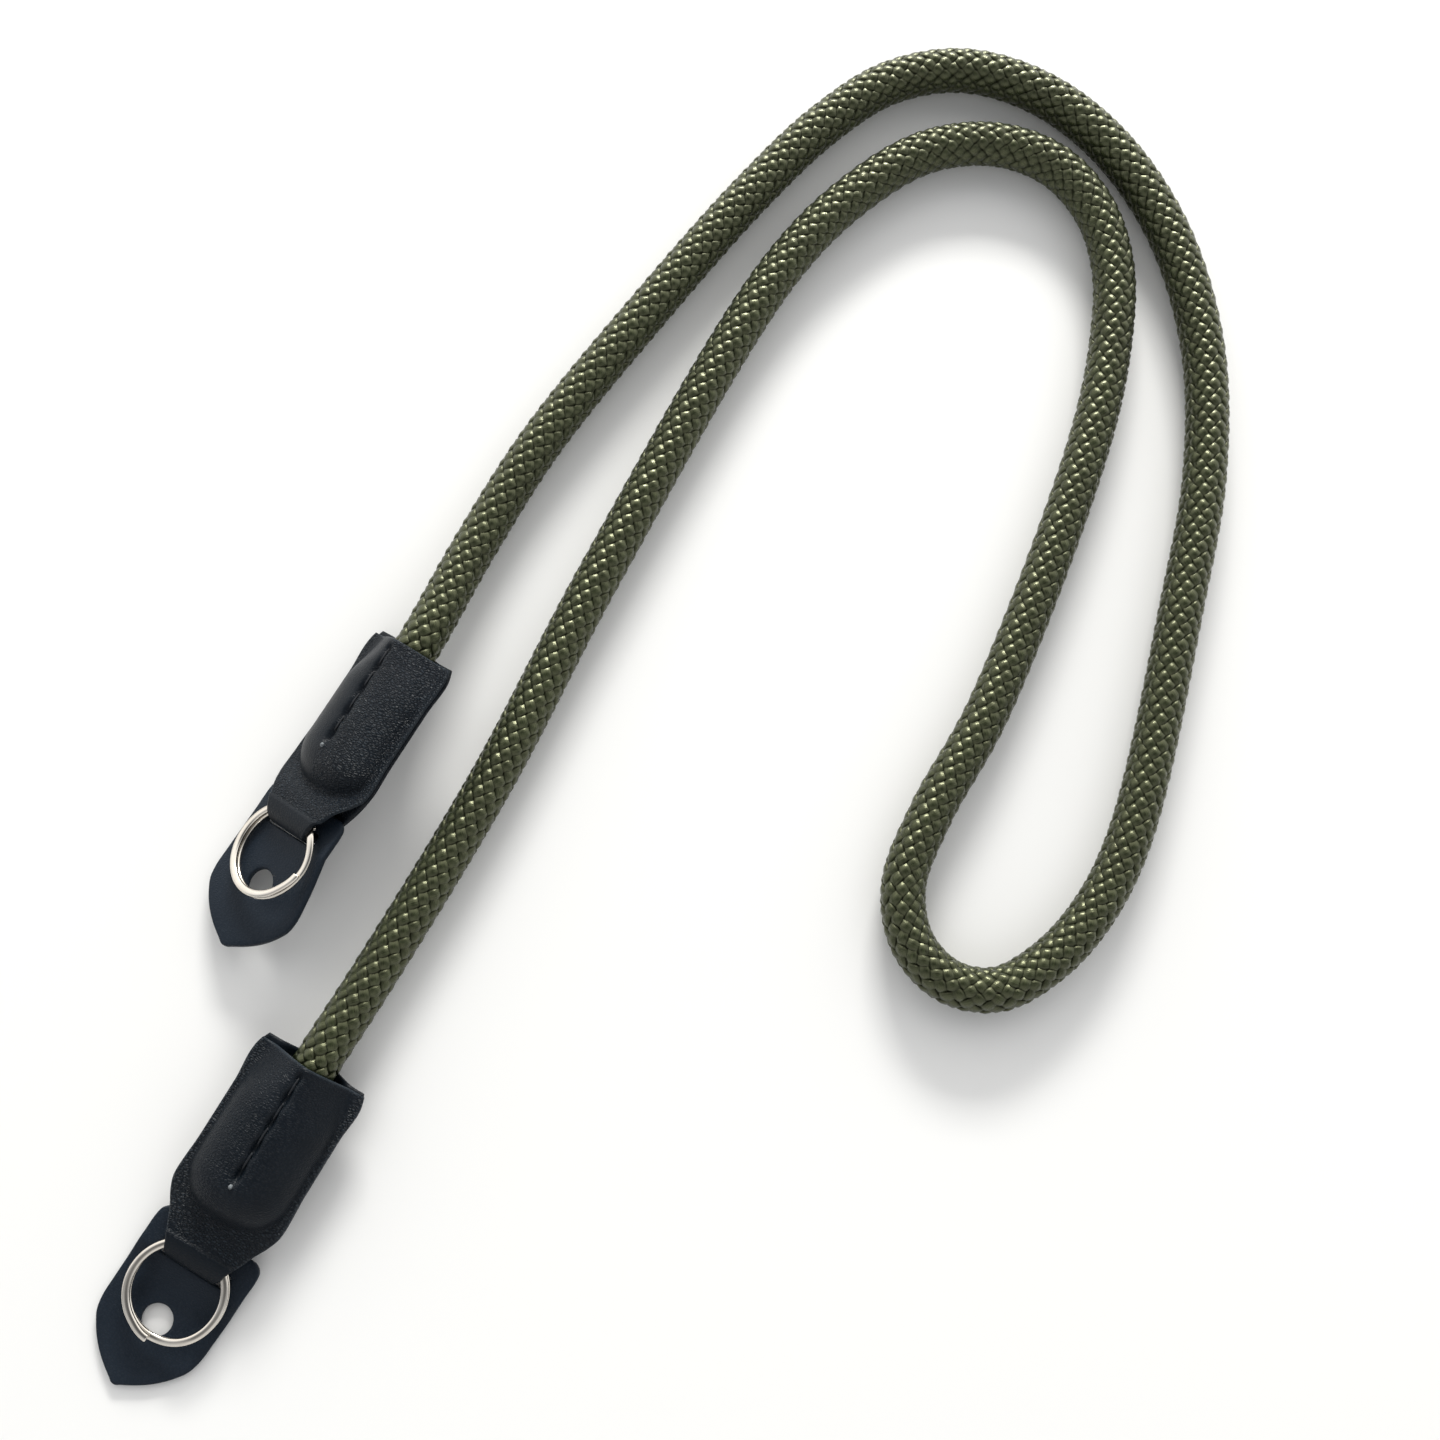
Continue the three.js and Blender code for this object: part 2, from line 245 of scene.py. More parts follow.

# Where the two ends lie. Roll lifts an end's right edge. The upper neck is creased, so it is
# shorter by neck_short and leans sideways by neck_lean. Sag rows: along, sag, slope.
# sleeve_grain sets the grain's strength on the left and right of a sleeve; as the pebble tops are painted
# lighter with it, the side with more grain carries more painted highlight.
ENDS = {
    "lower": {
        "place": (7.75, -14.61, 6.5),
        "turn": -30.6,
        "roll": 0.0,
        "neck_shift": -3.2,
        "neck_short": 0.0,
        "neck_lean": 0.0,
        "guard_shift": 0.0,
        "guard_turn": -3.0,
        "sag": [(46, 0, 0), (52, 1.45, 0), (71.4, 1.45, 0)],
        "ring_start": 275.0,
        "sleeve_grain": (0.34, 0.26),
    },
    "upper": {
        "place": (25.05, 69.2, 8.85),
        "turn": -31.4,
        "roll": 32.0,
        "neck_shift": 0.3,
        "neck_short": 1.2,
        "neck_lean": -1.2,
        "guard_shift": -0.5,
        "guard_turn": -1.0,
        "sag": [(46, 0, 0), (52, 0.8, 0.08), (71.4, 2.3, 0.3)],
        "ring_start": 357.0,
        "sleeve_grain": (0.16, 0.85),
    },
}


def smooth_share(value, start, end):
    share = np.clip((value - start) / (end - start), 0.0, 1.0)
    return share * share * (3.0 - 2.0 * share)


def smooth_table(rows, at):
    """Smooth line through the rows of a table of (along, value)."""
    x = np.array([row[0] for row in rows], float)
    y = np.array([row[1] for row in rows], float)
    step = np.diff(x)
    slope = np.diff(y) / step
    tangent = np.concatenate([slope[:1], slope, slope[-1:]])
    before = np.concatenate([step[:1], step, step[-1:]])
    knot = (tangent[:-1] * before[1:] + tangent[1:] * before[:-1]) / (before[1:] + before[:-1])
    knot[tangent[:-1] * tangent[1:] <= 0.0] = 0.0
    at = np.clip(at, x[0], x[-1])
    span = np.clip(np.searchsorted(x, at, side="right") - 1, 0, len(step) - 1)
    t = (at - x[span]) / step[span]
    return (
        (2 * t**3 - 3 * t**2 + 1) * y[span]
        + (t**3 - 2 * t**2 + t) * step[span] * knot[span]
        + (3 * t**2 - 2 * t**3) * y[span + 1]
        + (t**3 - t**2) * step[span] * knot[span + 1]
    )


def even_spacing(points, count, closed=False):
    """The same line with its points evenly spaced."""
    if closed:
        points = np.vstack([points, points[:1]])
    reach = np.concatenate([[0.0], np.cumsum(np.linalg.norm(np.diff(points, axis=0), axis=1))])
    stops = np.linspace(0.0, reach[-1], count + 1 if closed else count)
    if closed:
        stops = stops[:-1]
    return np.stack([np.interp(stops, reach, points[:, k]) for k in range(points.shape[1])], 1)


def centripetal(points, per_span=24):
    """Centripetal Catmull-Rom line through the points."""
    points = np.array(points, float)
    ends = np.vstack([2 * points[0] - points[1], points, 2 * points[-1] - points[-2]])
    line = []
    for i in range(len(points) - 1):
        a, b, c, d = ends[i : i + 4]
        ab, bc, cd = (math.sqrt(np.linalg.norm(q - p)) for p, q in ((a, b), (b, c), (c, d)))
        out = ((b - a) / ab - (c - a) / (ab + bc) + (c - b) / bc) * bc
        into = ((c - b) / bc - (d - b) / (bc + cd) + (d - c) / cd) * bc
        t = np.arange(per_span)[:, None] / per_span
        line.append(
            b
            + out * t
            + (3 * (c - b) - 2 * out - into) * t**2
            + (2 * (b - c) + out + into) * t**3
        )
    line.append(points[-1:])
    return np.vstack(line)


def unit(vectors):
    return vectors / np.linalg.norm(vectors, axis=-1, keepdims=True)


# Meshes from arrays

def make_mesh(name, parts, smooth=True):
    """One object from parts of (vertices, face lists, uv for each corner, values by name)."""
    vertices = []
    corners = []
    sizes = []
    paints = []
    uvs = []
    values = {}
    base = 0
    for part in parts:
        vertices.append(part["vertices"])
        for faces in part["faces"]:
            corners.append(np.asarray(faces).ravel() + base)
            sizes.append(np.full(len(faces), np.asarray(faces).shape[1]))
            paints.append(np.full(len(faces), part.get("paint", 0)))
        if "uv" in part:
            uvs.append(part["uv"])
        for key, value in part.get("values", {}).items():
            values.setdefault(key, []).append(value)
        base += len(part["vertices"])
    vertices = np.vstack(vertices) * MM
    corners = np.concatenate(corners)
    sizes = np.concatenate(sizes)
    mesh = bpy.data.meshes.new(name)
    mesh.vertices.add(len(vertices))
    mesh.vertices.foreach_set("co", vertices.ravel())
    mesh.loops.add(len(corners))
    mesh.loops.foreach_set("vertex_index", corners)
    mesh.polygons.add(len(sizes))
    mesh.polygons.foreach_set("loop_start", np.concatenate([[0], np.cumsum(sizes)[:-1]]))
    mesh.polygons.foreach_set("use_smooth", np.full(len(sizes), smooth))
    mesh.polygons.foreach_set("material_index", np.concatenate(paints))
    if uvs:
        layer = mesh.uv_layers.new(name="strand")
        layer.data.foreach_set("uv", np.vstack(uvs).ravel())
    for key, value in values.items():
        layer = mesh.attributes.new(key, "FLOAT", "POINT")
        layer.data.foreach_set("value", np.concatenate(value))
    mesh.update(calc_edges=True)
    piece = bpy.data.objects.new(name, mesh)
    bpy.context.scene.collection.objects.link(piece)
    return piece


def grid_faces(rows, columns, wrap):
    """Quads of a grid, its columns closed into a ring where wrap is true."""
    across = np.arange(columns if wrap else columns - 1)
    row = np.arange(rows - 1)[:, None] * columns
    right = (across + 1) % columns
    quads = np.stack([row + across, row + right, row + columns + right, row + columns + across], 2)
    return quads.reshape(-1, 4)


def tube(rings, uv_scale=None, uv_shift=(0.0, 0.0), reach=None):
    """A closed tube through rings of points, shape (rings, sides, 3)."""
    count, sides = rings.shape[:2]
    quads = grid_faces(count, sides, True)
    first = np.arange(sides)[None, ::-1]
    last = first[:, ::-1] + (count - 1) * sides
    part = {"vertices": rings.reshape(-1, 3), "faces": [quads, first, last]}
    if uv_scale is not None:
        column = np.tile(np.arange(sides), count - 1)
        row = np.repeat(np.arange(count - 1), sides)
        u = np.stack([column, column + 1, column + 1, column], 1) * uv_scale / sides
        v = reach[np.stack([row, row, row + 1, row + 1], 1)]
        cap = np.zeros((2 * sides, 2))
        side = np.stack([u + uv_shift[0], v + uv_shift[1]], 2).reshape(-1, 2)
        part["uv"] = np.vstack([side, cap])
    return part


# Camera

def make_camera():
    data = bpy.data.cameras.new("camera")
    data.lens = CAMERA_LENS
    data.sensor_width = CAMERA_SENSOR
    data.sensor_fit = "HORIZONTAL"
    data.clip_start = 0.01
    data.clip_end = 10.0
    camera = bpy.data.objects.new("camera", data)
    camera.location = CAMERA_PLACE
    camera.rotation_euler = [math.radians(angle) for angle in CAMERA_TURN]
    bpy.context.scene.collection.objects.link(camera)
    bpy.context.scene.camera = camera


# Materials

class Paint:
    """A node material round one Principled shader."""

    def __init__(self, name, **settings):
        self.material = bpy.data.materials.new(name)
        self.material.use_nodes = True
        self.tree = self.material.node_tree
        self.shader = self.tree.nodes["Principled BSDF"]
        for key, value in settings.items():
            self.shader.inputs[key.replace("_", " ")].default_value = value

    def node(self, kind, links=None, values=None, **settings):
        made = self.tree.nodes.new("ShaderNode" + kind)
        for key, value in settings.items():
            setattr(made, key, value)
        for key, value in (values or {}).items():
            made.inputs[key].default_value = value
        for key, socket in (links or {}).items():
            self.tree.links.new(socket, made.inputs[key])
        return made

    def math(self, operation, first, second):
        made = self.tree.nodes.new("ShaderNodeMath")
        made.operation = operation
        for slot, value in enumerate((first, second)):
            if isinstance(value, (int, float)):
                made.inputs[slot].default_value = value
            else:
                self.tree.links.new(value, made.inputs[slot])
        return made.outputs[0]

    def ramp(self, factor, stops):
        made = self.tree.nodes.new("ShaderNodeValToRGB")
        self.tree.links.new(factor, made.inputs[0])
        elements = made.color_ramp.elements
        while len(elements) < len(stops):
            elements.new(0.5)
        for element, (place, colour) in zip(elements, stops):
            element.position = place
            element.color = (*colour, 1.0)
        return made.outputs[0]

    def spread(self, factor, low, high):
        """Maps 0 to 1 onto low to high."""
        made = self.tree.nodes.new("ShaderNodeMapRange")
        self.tree.links.new(factor, made.inputs["Value"])
        made.inputs["To Min"].default_value = low
        made.inputs["To Max"].default_value = high
        return made.outputs["Result"]

    def noise(self, vector, scale, detail=3.0, roughness=0.5):
        made = self.node(
            "TexNoise",
            {"Vector": vector},
            {"Scale": scale, "Detail": detail, "Roughness": roughness},
        )
        return made.outputs["Fac"]

    def bump(self, height, distance, strength=1.0, below=None):
        made = self.node("Bump", {"Height": height}, {"Distance": distance, "Strength": strength})
        if below is not None:
            self.tree.links.new(below, made.inputs["Normal"])
        return made.outputs[0]

    def set(self, socket, source):
        self.tree.links.new(source, self.shader.inputs[socket])


def braid_material():
    paint = Paint(
        "braided_nylon",
        Specular_IOR_Level=0.8,
        Specular_Tint=(0.97, 1.0, 0.62, 1.0),
        Anisotropic=0.5,
    )
    place = paint.node("UVMap", uv_map="strand").outputs["UV"]
    lie = paint.node("Tangent", direction_type="UV_MAP", uv_map="strand")
    paint.set("Tangent", lie.outputs["Tangent"])
    around = paint.node("TexCoord").outputs["Object"]
    stretched = paint.node("Mapping", {"Vector": place}, {"Scale": (7.0, 0.35, 1.0)}).outputs[0]
    filaments = paint.noise(stretched, 1.0, 2.0, 0.6)
    patches = paint.noise(around, 160.0, 2.0)
    mixed = paint.math("ADD", paint.math("MULTIPLY", filaments, 0.75), paint.math("MULTIPLY", patches, 0.25))
    # Painted shade: the colour darkens towards each strand's edges and where it dives under a crossing,
    # following gap_shade_mask; the same mask makes those places rougher.
    gap_shade_mask = paint.node("Attribute", attribute_name="gap_shade_mask").outputs["Fac"]
    colour = paint.ramp(
        paint.math("MULTIPLY", mixed, paint.spread(gap_shade_mask, 0.35, 1.0)),
        [
            (0.24, (0.0012, 0.0018, 0.0010)),
            (0.50, (0.0150, 0.0194, 0.0086)),
            (0.70, (0.038, 0.047, 0.021)),
        ],
    )
    paint.set("Base Color", colour)
    dull = paint.spread(gap_shade_mask, 0.40, 0.0)
    paint.set("Roughness", paint.math("ADD", paint.spread(filaments, 0.20, 0.30), dull))
    paint.set("Normal", paint.bump(filaments, 0.00005, 1.0))
    return paint.material


# Painted shade: the core inside the braid is coloured near black, darker than the strands, so that it reads
# as deep shade where it shows between them.
def core_shade_material():
    paint = Paint("rope_core", Specular_IOR_Level=0.2)
    around = paint.node("TexCoord").outputs["Object"]
    grain = paint.noise(around, 900.0, 3.0)
    paint.set("Base Color", paint.ramp(grain, [(0.3, (0.006, 0.008, 0.003)), (0.7, (0.02, 0.024, 0.010))]))
    paint.set("Roughness", paint.spread(grain, 0.7, 0.9))
    return paint.material


# LEATHER_WEAR_AND_HIGHLIGHT is the leather's lightest colour, reached by its random lighter patches, its
# lighter cut edges and its lighter pebble tops: partly wear, partly painted highlight.
# Leather grain: cells longer across the strap, pushed out of line by a fine noise
LEATHER_WEAR_AND_HIGHLIGHT = (0.0190, 0.0260, 0.0340)
GRAIN_TURN = math.radians(-31.0)
GRAIN_STRETCH = (2.0, 1.0, 1.0)
GRAIN_PUSH = (0.0004, 0.0004, 0.0004)


def leather_material(name, dark, light, cell, relief, rough):
    paint = Paint(name, Specular_IOR_Level=0.18)
    place = paint.node("TexCoord").outputs["Object"]
    grain = paint.node("Attribute", attribute_name="grain").outputs["Fac"]
    aligned = paint.node(
        "Mapping",
        {"Vector": place},
        {"Rotation": (0.0, 0.0, GRAIN_TURN), "Scale": GRAIN_STRETCH},
        vector_type="TEXTURE",
    ).outputs[0]
    bent = paint.node("TexNoise", {"Vector": aligned}, {"Scale": 900.0, "Detail": 2.0}).outputs["Color"]
    push = paint.node(
        "VectorMath", {0: bent}, {1: GRAIN_PUSH}, operation="MULTIPLY"
    ).outputs[0]
    warp = paint.node("VectorMath", {0: aligned, 1: push}, operation="ADD").outputs[0]
    cells = paint.node(
        "TexVoronoi",
        {"Vector": warp},
        {"Scale": 1.0 / cell, "Randomness": 1.0},
        feature="DISTANCE_TO_EDGE",
    ).outputs["Distance"]
    pebbles = paint.spread(cells, 0.0, 1.0)
    pebbles.node.interpolation_type = "SMOOTHSTEP"
    pebbles.node.inputs["From Max"].default_value = 0.34
    fine = paint.noise(place, 5200.0, 3.0, 0.6)
    broad = paint.noise(place, 110.0, 3.0)
    height = paint.math("MULTIPLY", pebbles, grain)
    lightening = paint.math("ADD", paint.math("MULTIPLY", fine, 0.5), paint.math("MULTIPLY", broad, 0.5))
    # edge lightens the cut edges of the front layer: partly wear of the cut leather, partly a painted
    # highlight where that edge faces the light.
    edge = paint.node("Attribute", attribute_name="edge").outputs["Fac"]
    # Painted highlight: pebble tops are made lighter wherever the grain attribute is strong, standing in for
    # light glinting on the grain.
    painted_highlight_tops = paint.math("MULTIPLY", height, 0.42)
    shade = paint.math("ADD", paint.math("ADD", lightening, painted_highlight_tops), paint.math("MULTIPLY", edge, 0.4))
    paint.set("Base Color", paint.ramp(shade, [(0.35, dark), (0.65, light), (1.0, LEATHER_WEAR_AND_HIGHLIGHT)]))
    paint.set("Roughness", paint.spread(lightening, rough - 0.06, rough + 0.10))
    first = paint.bump(height, relief, 1.0)
    paint.set("Normal", paint.bump(fine, 0.00003, 0.8, first))
    return paint.material


def nickel_material():
    paint = Paint("nickel", Metallic=1.0)
    place = paint.node("TexCoord").outputs["Object"]
    marks = paint.noise(place, 900.0, 4.0, 0.6)
    broad = paint.noise(place, 140.0, 2.0)
    paint.set("Base Color", paint.ramp(broad, [(0.3, (0.64, 0.59, 0.52)), (0.7, (0.76, 0.72, 0.65))]))
    paint.set("Roughness", paint.spread(marks, 0.10, 0.22))
    paint.set("Normal", paint.bump(marks, 0.00001, 0.4))
    return paint.material


def thread_material(name, dark, light):
    paint = Paint(name, Specular_IOR_Level=0.4)
    place = paint.node("TexCoord").outputs["Object"]
    twist = paint.noise(place, 2600.0, 2.0)
    paint.set("Base Color", paint.ramp(twist, [(0.35, dark), (0.65, light)]))
    paint.set("Roughness", paint.spread(twist, 0.5, 0.7))
    paint.set("Normal", paint.bump(twist, 0.00003, 0.8))
    return paint.material


def floor_material():
    paint = Paint("pale_floor", Specular_IOR_Level=0.15)
    place = paint.node("TexCoord").outputs["Object"]
    soft = paint.noise(place, 3.0, 2.0)
    paint.set("Base Color", paint.ramp(soft, [(0.3, (0.86, 0.86, 0.85)), (0.7, (0.89, 0.89, 0.88))]))
    paint.set("Roughness", paint.spread(soft, 0.75, 0.85))
    return paint.material


def finish_piece(piece, material, slot, *nodes):
    """Gives a piece its material and its body, and hides the nodes it stands for. Its slot is not used."""
    piece.data.materials.append(material)
    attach(piece, "root")
    if nodes:
        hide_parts(*nodes)
    return piece


# Rope

def rope_line():
    """Centre line, and the directions sideways and up, every ROPE_LINE_STEP millimetres."""
    line = centripetal(ROPE_ROUTE) + np.array(FRAME_SHIFT)
    line = line / MM
    length = np.linalg.norm(np.diff(line, axis=0), axis=1).sum()
    line = even_spacing(line, int(length / ROPE_LINE_STEP))
    ahead = unit(np.gradient(line, axis=0))
    side = unit(np.cross(ahead, (0.0, 0.0, 1.0)))
    up = np.cross(side, ahead)
    return line, side, up, length


def at_reach(line, length, reach):
    stops = np.linspace(0.0, length, len(line))
    return np.stack([np.interp(reach, stops, line[:, k]) for k in range(3)], 1)


def strand(hand, number, route):
    """One strand of the braid. Hand 1 turns one way and is over at even crossings."""
    line, side, up, length = route
    crossing = BRAID_LEAD / (2 * BRAID_STRANDS)
    steps = int(length / crossing * STEPS_PER_CROSSING)
    reach = np.linspace(0.0, length, steps + 1)
    drift = sum(size * np.sin(reach / swing + phase) for size, swing, phase in BRAID_DRIFT)
    angle = (
        BRAID_FIRST_ANGLE
        + drift
        + hand * 2 * math.pi * reach / BRAID_LEAD
        + 2 * math.pi * number / BRAID_STRANDS
    )
    over = hand * np.cos(math.pi * reach / crossing)
    radius = BRAID_MIDDLE + BRAID_WAVE * over
    centre = at_reach(line, length, reach)
    aside = at_reach(side, length, reach)
    above = at_reach(up, length, reach)
    outward = np.cos(angle)[:, None] * aside + np.sin(angle)[:, None] * above
    middle = centre + radius[:, None] * outward
    ahead = unit(np.gradient(middle, axis=0))
    across = unit(np.cross(ahead, outward))
    proud = np.cross(across, ahead)
    half_width = STRAND_HALF_WIDTH + STRAND_SPREAD * over
    section = np.array(STRAND_SECTION)
    rings = (
        middle[:, None, :]
        + (half_width[:, None] * section[:, 0])[:, :, None] * across[:, None, :]
        + section[None, :, 1, None] * proud[:, None, :]
    )
    shift = (number * 3.7 + (hand > 0) * 1.9, number * 11.3)
    part = tube(rings[:, ::-1], STRAND_AROUND, shift, reach / math.cos(BRAID_SLANT))
    # gap_shade_mask is 1 on the crown of a strand where it lies over and falls to 0 at its edges and under
    # crossings: it carries the painted shade of the braid's gaps.
    low, high = section[0, 1], section[:, 1].max()
    crown = np.clip((section[::-1, 1] - low) / (high - low), 0.0, 1.0)
    part["values"] = {"gap_shade_mask": (smooth_share(over, -0.7, 0.2)[:, None] * crown).ravel()}
    return part


def rope_core(route):
    line, side, up, length = route
    reach = np.linspace(0.0, length, CORE_STEPS)
    turn = np.arange(CORE_SIDES) / CORE_SIDES * 2 * math.pi
    centre = at_reach(line, length, reach)[:, None, :]
    aside = at_reach(side, length, reach)[:, None, :]
    above = at_reach(up, length, reach)[:, None, :]
    around = np.cos(turn)[None, :, None] * aside + np.sin(turn)[None, :, None] * above
    core = tube((centre + CORE_RADIUS * around)[:, ::-1], CORE_AROUND, (0.0, 0.0), reach)
    core["paint"] = 1
    core["values"] = {"gap_shade_mask": np.zeros(CORE_STEPS * CORE_SIDES)}
    return core


def make_rope():
    route = rope_line()
    strands = [strand(hand, number, route) for number in range(BRAID_STRANDS) for hand in (1, -1)]
    nylon = braid_material()
    inner = core_shade_material()
    groups = [
        strands[first : first + STRANDS_PER_PIECE]
        for first in range(0, len(strands), STRANDS_PER_PIECE)
    ]
    groups[0].append(rope_core(route))
    pieces = []
    for number, group in enumerate(groups, 1):
        piece = make_mesh(f"braided_rope_{number}", group)
        pieces.append(finish_piece(piece, nylon, "rope_braid", "rope"))
    pieces[0].data.materials.append(inner)


# Leather ends

def place_end(points, end):
    """From an end's own axes (across, along, height) to the frame, in millimetres."""
    across, along, height = points[..., 0], points[..., 1], points[..., 2]
    roll = math.radians(-end["roll"])
    turn = math.radians(end["turn"])
    x = across * math.cos(roll) + height * math.sin(roll)
    z = -across * math.sin(roll) + height * math.cos(roll)
    y = -along
    placed = np.stack(
        [x * math.cos(turn) - y * math.sin(turn), x * math.sin(turn) + y * math.cos(turn), z], -1
    )
    return placed + np.array(end["place"]) + np.array(FRAME_SHIFT) / MM


def bulge(along, across, mouth):
    """Height of the padded sleeve over a tab's middle plane. At its mouth the leather falls
    straighter from the rope to its edges, by the share mouth."""
    slack = mouth * (1.0 - smooth_share(along, 0.0, MOUTH_LENGTH))
    sideways = (np.abs(across) / BULGE_HALF_WIDTH) ** (BULGE_SQUARENESS - 0.5 * slack)
    lengthways = np.maximum(0.0, along - BULGE_CAP_START) / BULGE_CAP_LENGTH
    inside = np.maximum(0.0, 1.0 - sideways - lengthways**2)
    return BULGE_HEIGHT * inside ** (BULGE_FALL + 0.6 * slack)


def tab_height(along, across, mouth):
    """Half height of a tab, from its middle plane to its face."""
    flat = LEATHER + LAYER_GAP
    opened = (FOLD_HALF_HEIGHT - flat) * smooth_share(along, NECK_OPEN_START, NECK_OPEN_END)
    flat = flat + opened
    padded = bulge(along, across, mouth)
    return (flat + padded + np.sqrt((flat - padded) ** 2 + BULGE_FILLET**2) - BULGE_FILLET) / 2 + (
        BULGE_FILLET / 2
    ) * smooth_share(padded, 0.0, 3.0)


def seam_depth(along, across):
    """The stitched seam pulls a channel into the front of the sleeve."""
    lengthways = smooth_share(along, SEAM_START - 1.0, SEAM_START + 1.5) * (
        1.0 - smooth_share(along, SEAM_END - 1.2, SEAM_END + 0.8)
    )
    aside = (across - SEAM_ASIDE) / SEAM_HALF_WIDTH
    channel = np.exp(-(aside**2)) + 0.30 * np.exp(-((aside / 2.8) ** 2))
    pull = 0.74 + 0.26 * np.cos(2 * math.pi * (along - SEAM_START) / STITCH)
    return SEAM_DEPTH * lengthways * channel * pull


def tab_lines():
    """Shares of the half width, closer together at the rounded edges."""
    insets = np.array(EDGE_INSETS) * EDGE_RADIUS
    return insets, np.linspace(-1.0, 1.0, TAB_LINES)


def across_lines(half):
    """Positions across a tab for each half width, shape (rows, lines)."""
    insets, shares = tab_lines()
    inner = shares[None, :] * (half[:, None] - EDGE_RADIUS)
    left = -half[:, None] + insets[None, :-1]
    return np.hstack([left, inner, -left[:, ::-1]])


def edge_share(inset):
    """How much of the thickness is left at this distance from a cut edge."""
    past = np.clip(1.0 - inset / EDGE_RADIUS, 0.0, 1.0)
    return EDGE_LEFT + (1.0 - EDGE_LEFT) * np.sqrt(1.0 - past**2)


def make_tab(name, end):
    """The leather strip: front layer, fold round the ring, back layer."""
    edge = np.array(EDGE_INSETS[:-1]) * EDGE_RADIUS
    front = np.concatenate([edge, np.arange(EDGE_RADIUS, FOLD_START, TAB_STEP)])
    angle = np.linspace(0.0, math.pi, FOLD_STEPS)
    back = np.arange(FOLD_START - TAB_BACK_STEP, BACK_LAYER_START + EDGE_RADIUS, -TAB_BACK_STEP)
    back = np.concatenate([back, BACK_LAYER_START + np.append(EDGE_RADIUS, edge[::-1])])

    bend = FOLD_END - FOLD_START
    out_along = np.concatenate([front, FOLD_START + bend * np.sin(angle), back])
    in_along = np.concatenate([front, FOLD_START + (bend - LEATHER) * np.sin(angle), back])
    half = smooth_table(TAB_OUTLINE, out_along)
    across = across_lines(half)
    out_a = np.repeat(out_along[:, None], across.shape[1], 1)
    in_a = np.repeat(in_along[:, None], across.shape[1], 1)

    side = np.ones_like(out_along)
    side[len(front) :] = -1.0
    side = side[:, None]
    near_mouth = 1.0 - smooth_share(out_a, BACK_LAYER_START, 5.0)
    trim = MOUTH_TRIM * smooth_share(across, 1.0, 9.0) * near_mouth * (side < 0)
    out_a = out_a + trim
    in_a = in_a + trim
    face = tab_height(out_a, across, np.where(side > 0, FRONT_SLACK, BACK_SLACK))
    slope = np.gradient(face, axis=1) / np.gradient(across, axis=1)
    inner = np.maximum(LAYER_GAP, face - LEATHER * np.sqrt(1.0 + np.minimum(slope**2, 4.0)))
    groove = seam_depth(out_a, across) * (side > 0)
    out_h = side * (face - groove)
    in_h = side * (inner - groove * (inner > 2.0))
    fold = slice(len(front), len(front) + FOLD_STEPS)
    out_h[fold] = FOLD_HALF_HEIGHT * np.cos(angle)[:, None]
    in_h[fold] = (FOLD_HALF_HEIGHT - LEATHER) * np.cos(angle)[:, None]

    end_inset = np.where(side[:, 0] > 0, out_along, out_along - BACK_LAYER_START)
    end_inset[fold] = EDGE_RADIUS
    side_inset = half[:, None] - np.abs(across)
    thick = edge_share(np.minimum(side_inset, end_inset[:, None]))

    middle_plane = end["neck_shift"] * smooth_share(out_a, NECK_OPEN_START, NECK_OPEN_END)
    outer = np.stack([across, out_a, out_h + middle_plane], 2)
    inside = np.stack([across, in_a, in_h + middle_plane], 2)
    core = (outer + inside) / 2
    outer = core + (outer - core) * thick[:, :, None]
    inside = core + (inside - core) * thick[:, :, None]

    left, right = end["sleeve_grain"]
    sleeve = left + (right - left) * smooth_share(across, -1.5, 0.5)
    grain = 1.0 + (sleeve - 1.0) * smooth_share(bulge(out_a, across, 0.0), 0.6, 2.4)
    grain = grain * (1.0 - 0.85 * smooth_share(out_a, FOLD_START - 1.6, FOLD_START + 0.4))
    rings = np.concatenate([outer, inside[:, ::-1]], 1)
    values = np.concatenate([grain, grain[:, ::-1] * 0.3], 1)
    # Lighter band along the cut edges of the front layer only: partly wear, partly painted highlight; the
    # back layer's edges, which lie in shade, get none.
    lightening = np.clip(1.0 - np.minimum(side_inset, end_inset[:, None]) / EDGE_WEAR_AND_HIGHLIGHT, 0.0, 1.0)
    lightening = lightening * (side > 0)
    lightening = np.concatenate([lightening, lightening[:, ::-1]], 1)
    past = np.maximum(0.0, rings[..., 1] - NECK_START) / (FOLD_END - NECK_START)
    rings[..., 0] += end["neck_lean"] * past
    rings[..., 1] -= end["neck_short"] * past

    rows, columns = rings.shape[:2]
    lines = columns // 2
    placed = place_end(rings, end)
    quads = grid_faces(rows, columns, True)
    cap = np.arange(lines - 1)
    first = np.stack([cap, columns - 1 - cap, columns - 2 - cap, cap + 1], 1)
    last = first[:, ::-1] + (rows - 1) * columns
    part = {
        "vertices": placed.reshape(-1, 3),
        "faces": [quads, first, last],
        "values": {"grain": values.ravel(), "edge": lightening.ravel()},
    }
    return make_mesh(name, [part])


def blob(middle, half_length, radius, end):
    """A short rounded piece of thread that lies along a seam."""
    turn = np.linspace(-math.pi / 2, math.pi / 2, 9)[1:-1]
    ring = np.arange(10) / 10 * 2 * math.pi
    along = middle[1] + half_length * np.sin(turn)[:, None] + 0 * ring
    across = middle[0] + radius * np.cos(turn)[:, None] * np.cos(ring)
    height = middle[2] + radius * np.cos(turn)[:, None] * np.sin(ring)
    return tube(place_end(np.stack([across, along, height], 2)[:, ::-1], end))


